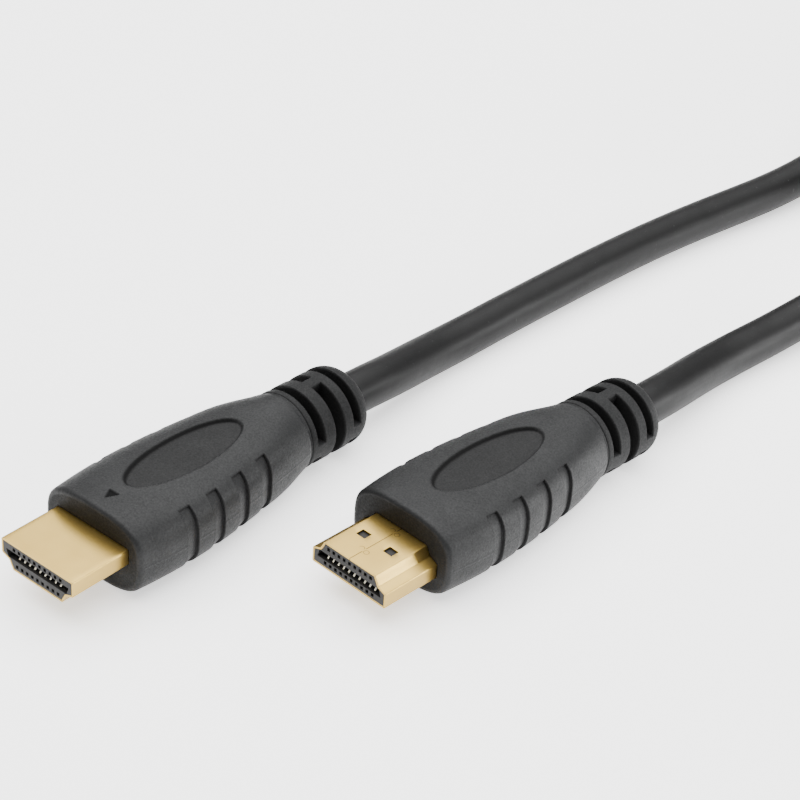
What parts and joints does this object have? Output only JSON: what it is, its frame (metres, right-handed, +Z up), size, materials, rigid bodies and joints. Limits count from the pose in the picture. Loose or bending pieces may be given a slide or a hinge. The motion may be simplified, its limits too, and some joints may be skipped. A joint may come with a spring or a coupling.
{
  "type": "hdmi cable",
  "caption": "Digital video lead: a round sheathed cable with a flat gold-shelled plug in a black moulded grip at each end, spare length tied in a hank.",
  "frame": {"origin": "on the floor, under the middle of the box of the two plugs", "axes": "+Z up from the floor, -Y the way the first plug's nose points, +X from the first plug towards the second"},
  "size_m": [0.065, 0.3035, 0.023],
  "materials": {
    "grip": "charcoal moulded PVC with a fine satin grain",
    "shell": "pale gold plated sheet steel, softly brushed",
    "insulator": "dark grey moulded plastic",
    "contact": "bright gold plated strip",
    "cable": "black satin PVC sheath",
    "tie": "black woven hook-and-loop strap"
  },
  "bodies": {
    "root": {"grip_a": "grip", "shell_a": "shell", "insulator_a": "insulator", "contact_a_wide_1": "contact", "contact_a_wide_2": "contact", "contact_a_wide_3": "contact", "contact_a_wide_4": "contact", "contact_a_wide_5": "contact", "contact_a_wide_6": "contact", "contact_a_wide_7": "contact", "contact_a_wide_8": "contact", "contact_a_wide_9": "contact", "contact_a_wide_10": "contact", "contact_a_narrow_1": "contact", "contact_a_narrow_2": "contact", "contact_a_narrow_3": "contact", "contact_a_narrow_4": "contact", "contact_a_narrow_5": "contact", "contact_a_narrow_6": "contact", "contact_a_narrow_7": "contact", "contact_a_narrow_8": "contact", "contact_a_narrow_9": "contact", "grip_b": "grip", "shell_b": "shell", "insulator_b": "insulator", "contact_b_wide_1": "contact", "contact_b_wide_2": "contact", "contact_b_wide_3": "contact", "contact_b_wide_4": "contact", "contact_b_wide_5": "contact", "contact_b_wide_6": "contact", "contact_b_wide_7": "contact", "contact_b_wide_8": "contact", "contact_b_wide_9": "contact", "contact_b_wide_10": "contact", "contact_b_narrow_1": "contact", "contact_b_narrow_2": "contact", "contact_b_narrow_3": "contact", "contact_b_narrow_4": "contact", "contact_b_narrow_5": "contact", "contact_b_narrow_6": "contact", "contact_b_narrow_7": "contact", "contact_b_narrow_8": "contact", "contact_b_narrow_9": "contact", "cable_from_a": "cable", "cable_from_b": "cable", "hank": "cable", "tie": "tie", "tie_right": "tie"}
  },
  "joints": []
}
